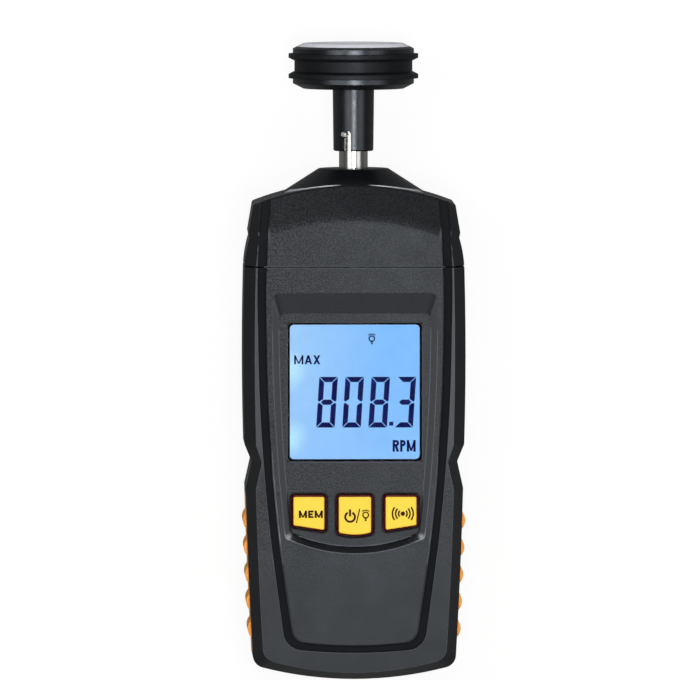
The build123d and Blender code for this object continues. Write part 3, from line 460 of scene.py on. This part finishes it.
def hub_material():
    """Black moulding; the outer ring of its end face is paler and streaked, a painted highlight."""
    s = Shader("hub_plastic")
    x, y, z = s.split(s.place())
    # Painted highlight: the outer ring of the end face is pale grey with streaks
    end_face_highlight = s.all_of(s.under(s.span(x, s.less(z, WHEEL_AXIS_Z)), FACE_HIGHLIGHT_R), s.over(y, FACE_HIGHLIGHT_Y))
    highlight_streaks = s.noise(1.0, 3.0, 0.6, s.stretched((300.0, 9000.0, 300.0)))
    black = s.mix(s.cloud(CLOUD_SCALE), *HUB_BLACK)
    pale = s.mix(s.spread(highlight_streaks), *FACE_HIGHLIGHT_GREY)
    return s.principled(
        Base_Color=s.mix(end_face_highlight, black, pale), Roughness=s.cloud(SMUDGE_SCALE, 0.26, 0.35),
        Normal=s.skin(0.008 * MM, s.soft_edge(0.25 * MM)),
        Specular_IOR_Level=0.7, Specular_Tint=SHEEN_TINT)


def metal(name, colour, roughness, streak_scale):
    """Turned or drawn metal with fine streaks; streak_scale stretches them."""
    s = Shader(name)
    streaks = s.noise(1.0, 4.0, 0.65, s.stretched(streak_scale))
    tone = s.mix(s.spread(streaks), [c * 0.88 for c in colour] + [1.0], [*colour, 1.0])
    return s.principled(
        Base_Color=tone, Roughness=s.spread(streaks, roughness - 0.05, roughness + 0.07),
        Metallic=1.0, Normal=s.bump(streaks, 0.004 * MM, 0.4, s.soft_edge(0.1 * MM)))


def display_material():
    """Lit display: pale blue inside a dark border, with the glow of two lamps at its left edge; its
    paler left part is partly that backlight and partly a painted reflection.
    """
    s = Shader("lit_display")
    x, y, _ = s.split(s.place())
    # Paler towards the left: partly the backlight's lamps there, partly a painted reflection
    backlight_and_reflection = s.ramp(x, -17.5 * MM, 8.0 * MM, 1.0, 0.0)
    colour = s.mix(backlight_and_reflection, (0.21, 0.50, 0.97, 1.0), (0.33, 0.585, 0.94, 1.0))
    low = s.ramp(y, DISPLAY_Y - 18.0 * MM, DISPLAY_Y + 6.0 * MM, 0.6, 0.0)
    colour = s.mix(low, colour, (0.265, 0.54, 0.98, 1.0))
    for lamp_y in GLOW_Y:
        ends = {0: s.place(), 1: (GLOW_X, DISPLAY_Y + lamp_y, LCD_TOP)}
        reach = s.node("ShaderNodeVectorMath", ends, operation="DISTANCE").outputs["Value"]
        glow = s.ramp(reach, 0.8 * MM, 6.0 * MM, 0.95, 0.0)
        colour = s.mix(glow, colour, (0.50, 0.83, 1.0, 1.0))
    reach_x = s.any_of(s.less(s.size(x), LIT_AREA[0] / 2 - LIT_CORNER), 0.0)
    reach_y = s.any_of(s.less(s.size(s.less(y, DISPLAY_Y)), LIT_AREA[1] / 2 - LIT_CORNER), 0.0)
    lit = s.under(s.span(reach_x, reach_y), LIT_CORNER)
    return s.principled(
        Base_Color=s.mix(lit, (0.004, 0.005, 0.007, 1.0), (0.006, 0.010, 0.014, 1.0)),
        Roughness=0.35, Emission_Color=colour,
        Emission_Strength=s.all_of(lit, s.cloud(300.0, 0.97, 1.03)), Specular_IOR_Level=0.02)


def window_material():
    """Clear moulded pane."""
    s = Shader("clear_window")
    return s.principled(
        Base_Color=(1.0, 1.0, 1.0, 1.0), Roughness=s.cloud(200.0, 0.2, 0.26),
        Transmission_Weight=1.0, IOR=1.03, Normal=s.bump(s.noise(120.0, 2.0), 0.002 * MM, 0.3))


def ink_material(name, colour):
    """Printed or switched-on dark mark."""
    s = Shader(name)
    paler = [c * 1.5 for c in colour[:3]] + [1.0]
    return s.principled(
        Base_Color=s.mix(s.cloud(900.0), colour, paler), Roughness=0.5, Specular_IOR_Level=0.03)


def floor_material():
    """Pale floor that reads as white to the camera and still takes the object's shadow."""
    s = Shader("pale_floor")
    speck = s.mix(s.noise(40.0, 2.0), (0.12, 0.12, 0.12, 1), (0.13, 0.13, 0.13, 1))
    diffuse = s.node("ShaderNodeBsdfDiffuse", {"Color": speck})
    ray = s.node("ShaderNodeLightPath").outputs
    seen = s.any_of(ray["Is Camera Ray"], ray["Is Transmission Ray"],
                    s.math("MULTIPLY", ray["Is Glossy Ray"], MIRROR_SHARE))
    lift = s.node("ShaderNodeEmission", {"Color": (1, 1, 1, 1),
                                         "Strength": s.math("MULTIPLY", seen, FLOOR_LIFT)})
    return s.done(s.node("ShaderNodeAddShader", {0: diffuse.outputs[0], 1: lift.outputs[0]}))


def dress(material, *nodes):
    """Gives CAD nodes their material."""
    for name in nodes:
        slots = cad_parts[name].data.materials
        slots.clear()
        slots.append(material)


def prism(name, outlines, z_low, material, body):
    """Ink-thin upright prisms from simple outlines, as one piece that rides on a body."""
    vertices = []
    faces = []
    for outline in outlines:
        start, count = len(vertices), len(outline)
        for z in (z_low, z_low + INK):
            vertices += [(x, y, z) for x, y in outline]
        faces.append([start + i for i in reversed(range(count))])
        faces.append([start + count + i for i in range(count)])
        for i in range(count):
            j = (i + 1) % count
            faces.append([start + i, start + j, start + count + j, start + count + i])
    mesh = bpy.data.meshes.new(name)
    mesh.from_pydata(vertices, [], faces)
    mesh.materials.append(material)
    piece = bpy.data.objects.new(name, mesh)
    bpy.context.scene.collection.objects.link(piece)
    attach(piece, body)
    return piece


def ribbon(points, width):
    """Outlines of a flat stroke along points, one four-sided piece per step, mitred."""
    count = len(points)
    sides = []
    for i, (x, y) in enumerate(points):
        before = points[max(i - 1, 0)]
        after = points[min(i + 1, count - 1)]
        along = Vector((after[0] - before[0], after[1] - before[1])).normalized()
        if 0 < i < count - 1:
            first = Vector((x - before[0], y - before[1])).normalized()
            stretch = 1 / max(first.dot(along), 0.5)
        else:
            stretch = 1.0
        across = Vector((-along.y, along.x)) * width / 2 * stretch
        sides.append(((x + across.x, y + across.y), (x - across.x, y - across.y)))
    return [[sides[i][0], sides[i][1], sides[i + 1][1], sides[i + 1][0]] for i in range(count - 1)]


def arc_points(centre, radius, start, end, steps=24):
    """Points along an arc; angles in degrees, anticlockwise from +X."""
    angles = [math.radians(start + (end - start) * i / steps) for i in range(steps + 1)]
    return [(centre[0] + radius * math.cos(a), centre[1] + radius * math.sin(a)) for a in angles]


def segment_outlines(kinds, left, top):
    """Seven-segment figure: mitred bars that lean to the right."""
    w, h, b, g = DIGIT_WIDTH, DIGIT_HEIGHT, DIGIT_BAR, DIGIT_GAP
    half = h / 2
    shapes = {
        "a": [(g, h), (w - g, h), (w - b - g, h - b), (b + g, h - b)],
        "b": [(w, h - g), (w, half + b / 4 + g), (w - b / 4, half + g),
              (w - b, half + b / 2 + g), (w - b, h - b - g)],
        "c": [(w, half - b / 4 - g), (w, g), (w - b, b + g), (w - b, half - b / 2 - g),
              (w - b / 4, half - g)],
        "d": [(b + g, b), (w - b - g, b), (w - g, 0), (g, 0)],
        "e": [(0, half - b / 4 - g), (b / 4, half - g), (b, half - b / 2 - g), (b, b + g), (0, g)],
        "f": [(0, h - g), (b, h - b - g), (b, half + b / 2 + g), (b / 4, half + g),
              (0, half + b / 4 + g)],
        "g": [(b / 2 + g, half), (b + g, half + b / 2), (w - b - g, half + b / 2),
              (w - b / 2 - g, half), (w - b - g, half - b / 2), (b + g, half - b / 2)],
    }
    bottom = top - h
    return [[(left + x + y * DIGIT_LEAN, bottom + y) for x, y in shapes[kind]] for kind in kinds]


def letter_outlines(letter, left, bottom, width, height, stroke):
    """One plain capital, built from bars, slanted legs and a bowl."""
    w, h, t = width, height, stroke
    half = h / 2

    def bar(x, y, wide, high):
        return [(x, y), (x + wide, y), (x + wide, y + high), (x, y + high)]

    def leg(low_x, low_y, top_x, top_y, wide):
        return [(low_x, low_y), (low_x + wide, low_y), (top_x + wide, top_y), (top_x, top_y)]

    radius = (h * 0.54 - t) / 2
    turn = arc_points((w - radius - t / 2, h - t / 2 - radius), radius, 90, -90, 10)
    bowl = ribbon([(t, h - t / 2)] + turn + [(t, h - t / 2 - 2 * radius)], t)
    stem = bar(0, 0, t, h)
    shapes = {
        "M": [stem, bar(w - t, 0, t, h), leg(w / 2 - t * 0.4, h * 0.06, 0, h, t * 0.8),
              leg(w / 2 - t * 0.4, h * 0.06, w - t * 0.8, h, t * 0.8)],
        "A": [leg(0, 0, w / 2 - t * 0.55, h, t * 1.1),
              leg(w - t * 1.1, 0, w / 2 - t * 0.55, h, t * 1.1),
              bar(w * 0.22, h * 0.2, w * 0.56, t * 0.85)],
        "X": [leg(0, 0, w - t * 1.2, h, t * 1.2), leg(w - t * 1.2, 0, 0, h, t * 1.2)],
        "E": [stem, bar(t, 0, w - t, t * 0.9), bar(t, half - t * 0.45, w * 0.85 - t, t * 0.9),
              bar(t, h - t * 0.9, w - t, t * 0.9)],
        "P": [stem] + bowl,
        "R": [stem] + bowl + [leg(w - t * 1.1, 0, w / 2 - t * 0.4, h * 0.46, t * 1.1)],
    }
    return [[(left + x, bottom + y) for x, y in outline] for outline in shapes[letter]]


def word_outlines(word, left, bottom, width, height, stroke, gap):
    """Capitals in a row that fill a width."""
    shares = {"M": 1.3, "A": 1.05, "X": 1.0, "E": 0.85, "P": 0.82, "R": 0.95}
    unit = (width - gap * (len(word) - 1)) / sum(shares[letter] for letter in word)
    outlines = []
    for letter in word:
        outlines += letter_outlines(letter, left, bottom, unit * shares[letter], height, stroke)
        left += unit * shares[letter] + gap
    return outlines


def bulb_outlines(centre, size, width):
    """Small lamp sign: a ring with a neck, a cap and a short arc above it."""
    x, y = centre

    def taper(high, wide_high, low, wide_low):
        return [(x - size * wide_high, y - size * high), (x + size * wide_high, y - size * high),
                (x + size * wide_low, y - size * low), (x - size * wide_low, y - size * low)]

    ring = ribbon(arc_points((x, y), size, 0, 360), width)
    ray = ribbon(arc_points((x, y - size * 0.4), size * 2.1, 52, 128, 12), width * 0.8)
    return ring + [taper(0.95, 0.5, 1.45, 0.42), taper(1.6, 0.42, 2.15, 0.25)] + ray


def from_display(outlines):
    """Outlines that are counted from the display's middle, moved into the row frame."""
    return [[(x, DISPLAY_Y + y) for x, y in outline] for outline in outlines]


def display_marks():
    """Figures, unit and signs on the display."""
    ink = ink_material("display_ink", INK_BLUE)
    figures = []
    for kinds, left in zip(DIGIT_SEGMENTS, DIGIT_LEFT):
        figures += segment_outlines(kinds, left, DIGIT_TOP)
    figures.append(DIGIT_POINT)
    signs = bulb_outlines((4.6 * MM, 14.35 * MM), 0.72 * MM, 0.36 * MM)
    signs += word_outlines("MAX", -16.3 * MM, 7.45 * MM, 7.05 * MM, 2.43 * MM, 0.48 * MM, 0.32 * MM)
    signs += word_outlines("RPM", 10.2 * MM, -16.13 * MM, 6.2 * MM, 3.15 * MM, 0.62 * MM, 0.28 * MM)
    for name, outlines in (("display_figures", figures), ("display_signs", signs)):
        piece = prism(name, from_display(outlines), LCD_TOP + DISPLAY_LIFT, ink, "case")


def key_marks():
    """Function signs printed on the three keys."""
    ink = ink_material("key_ink", KEY_INK)
    memory = word_outlines("MEM", -15.1 * MM, -33.8 * MM, 6.45 * MM, 2.0 * MM, 0.56 * MM, 0.3 * MM)
    bar_x = -1.32 * MM
    power = ribbon(arc_points((bar_x, -33.53 * MM), 1.3 * MM, 118, 422), 0.56 * MM)
    power += ribbon([(bar_x, -31.5 * MM), (bar_x, -33.4 * MM)], 0.56 * MM)
    power += ribbon([(1.27 * MM, -31.4 * MM), (0.39 * MM, -35.2 * MM)], 0.3 * MM)
    power += bulb_outlines((2.89 * MM, -33.0 * MM), 0.76 * MM, 0.34 * MM)
    centre = (12.88 * MM, -32.66 * MM)
    waves = [arc_points(centre, 0.6 * MM, 0, 360)[:-1]]
    for radius, half_angle in ((1.15 * MM, 44), (1.95 * MM, 44), (2.8 * MM, 38)):
        for middle in (0, 180):
            arc = arc_points(centre, radius, middle - half_angle, middle + half_angle, 14)
            waves += ribbon(arc, 0.42 * MM)
    for key, outlines in zip(KEYS, (memory, power, waves)):
        piece = prism(key + "_key_sign", from_display(outlines), KEY_TOP + KEY_LIFT, ink,
                      key + "_key")


def dress_parts():
    """Materials of every CAD node."""
    dress(housing_material(), "front_case", "rear_case", "head_cap", "battery_cover")
    dress(plastic("grip_rubber", (0.95, 0.42, 0.075), 0.5, 0.02, edge=0.3, gloss=0.25),
          "grip_left", "grip_right")
    dress(window_material(), "display_window")
    dress(display_material(), "lcd_panel")
    dress(plastic("light_guide_acrylic", (0.8, 0.84, 0.88), 0.25), "backlight_panel")
    dress(plastic("contact_rubber", (0.6, 0.3, 0.38), 0.6), "lcd_connector")
    dress(plastic("board_laminate", (0.02, 0.13, 0.05), 0.35, coat=0.4), "main_board",
          "sensor_board")
    dress(plastic("chip_package", (0.02, 0.02, 0.022), 0.55, 0.02), "main_chip",
          "button_switches", "photo_interrupter")
    dress(key_material(), "memory_button", "power_button", "measuring_button")
    dress(metal("shaft_steel", (0.60, 0.59, 0.57), 0.2, (900.0, 6000.0, 900.0)),
          "measuring_shaft", "thrust_washer")
    dress(metal("pin_steel", (0.97, 0.97, 0.96), 0.42, (2500.0, 2500.0, 2500.0)), "bayonet_pin")
    dress(metal("screw_steel", (0.5, 0.5, 0.52), 0.32, (3000.0, 3000.0, 400.0)), "case_screws",
          "board_screws", "retaining_ring")
    dress(metal("bush_bronze", (0.62, 0.4, 0.2), 0.42, (2500.0, 2500.0, 2500.0)), "front_bush",
          "rear_bush")
    dress(metal("turned_brass", (0.75, 0.56, 0.26), 0.28, (700.0, 6000.0, 700.0)),
          "bearing_housing")
    dress(metal("contact_nickel", (0.78, 0.77, 0.74), 0.2, (900.0, 900.0, 900.0)),
          "battery_contacts")
    dress(metal("cell_sleeve", (0.3, 0.32, 0.36), 0.35, (200.0, 2000.0, 200.0)),
          "battery_cell_left", "battery_cell_middle", "battery_cell_right")
    dress(plastic("disc_acetal", (0.03, 0.03, 0.032), 0.45), "encoder_disc")
    dress(hub_material(), "wheel_hub")
    dress(plastic("tyre_rubber", (0.008, 0.0085, 0.0095), 0.45, 0.012, gloss=0.25,
                  tint=SHEEN_TINT), "wheel_tyre")


def add_floor():
    """Flat floor just under the object."""
    r = FLOOR_REACH
    mesh = bpy.data.meshes.new("studio_floor")
    corners = [(x, y, FLOOR_Z) for x, y in ((-r, -r), (r, -r), (r, r), (-r, r))]
    mesh.from_pydata(corners, [], [(0, 1, 2, 3)])
    mesh.materials.append(floor_material())
    floor = bpy.data.objects.new("studio_floor", mesh)
    bpy.context.scene.collection.objects.link(floor)


def add_world():
    """White to the camera, dim in reflections, and lighting most from near the horizon."""
    world = bpy.data.worlds.new("studio_world")
    bpy.context.scene.world = world
    world.use_nodes = True
    s = Nodes(world.node_tree)
    direction = s.node("ShaderNodeTexCoord").outputs["Generated"]
    height = s.size(s.node("ShaderNodeSeparateXYZ", {"Vector": direction}).outputs[2])
    glow = s.math("POWER", s.less(1.0, height), 3.0)
    seen = s.math("ADD", s.math("MULTIPLY", glow, HORIZON_GLOW), WORLD_FILL)
    ray = s.node("ShaderNodeLightPath").outputs
    for kind, level in (("Is Glossy Ray", WORLD_MIRROR), ("Is Transmission Ray", 1.0),
                        ("Is Camera Ray", 1.0)):
        seen = s.node("ShaderNodeMix", {0: ray[kind], 2: seen, 3: level}).outputs[0]
    background = s.node("ShaderNodeBackground", {"Strength": seen})
    s.node("ShaderNodeOutputWorld", {"Surface": background.outputs[0]})


def add_lamps():
    """Soft boxes that each face a point."""
    for name, place, aim, size, watts in LAMPS:
        light = bpy.data.lights.new(name, "AREA")
        light.shape = "RECTANGLE"
        light.size, light.size_y = size
        light.energy = watts
        lamp = bpy.data.objects.new(name, light)
        lamp.location = place
        towards = Vector(aim) - Vector(place)
        lamp.rotation_euler = towards.to_track_quat("-Z", "Y").to_euler()
        bpy.context.scene.collection.objects.link(lamp)


def add_camera():
    """Long lens above the display, at the photograph's tilt and turn."""
    data = bpy.data.cameras.new("photo_camera")
    data.sensor_width = SENSOR
    data.lens = SENSOR * VIEW_DISTANCE / (PIXEL * IMAGE)
    view = bpy.data.objects.new("photo_camera", data)
    backwards = Vector((math.sin(VIEW_TURN), math.sin(VIEW_TILT), math.cos(VIEW_TILT)))
    backwards.normalize()
    right = Vector((0, 1, 0)).cross(backwards).normalized()
    up = backwards.cross(right)
    matrix = view.matrix_world.to_3x3()
    for column, axis in enumerate((right, up, backwards)):
        matrix.col[column] = axis
    view.matrix_world = matrix.to_4x4()
    view.location = Vector(VIEW_CENTRE) + backwards * VIEW_DISTANCE
    bpy.context.scene.collection.objects.link(view)
    bpy.context.scene.camera = view


dress_parts()
display_marks()
key_marks()
add_floor()
add_world()
add_lamps()
add_camera()
bpy.context.scene.view_settings.view_transform = "Standard"
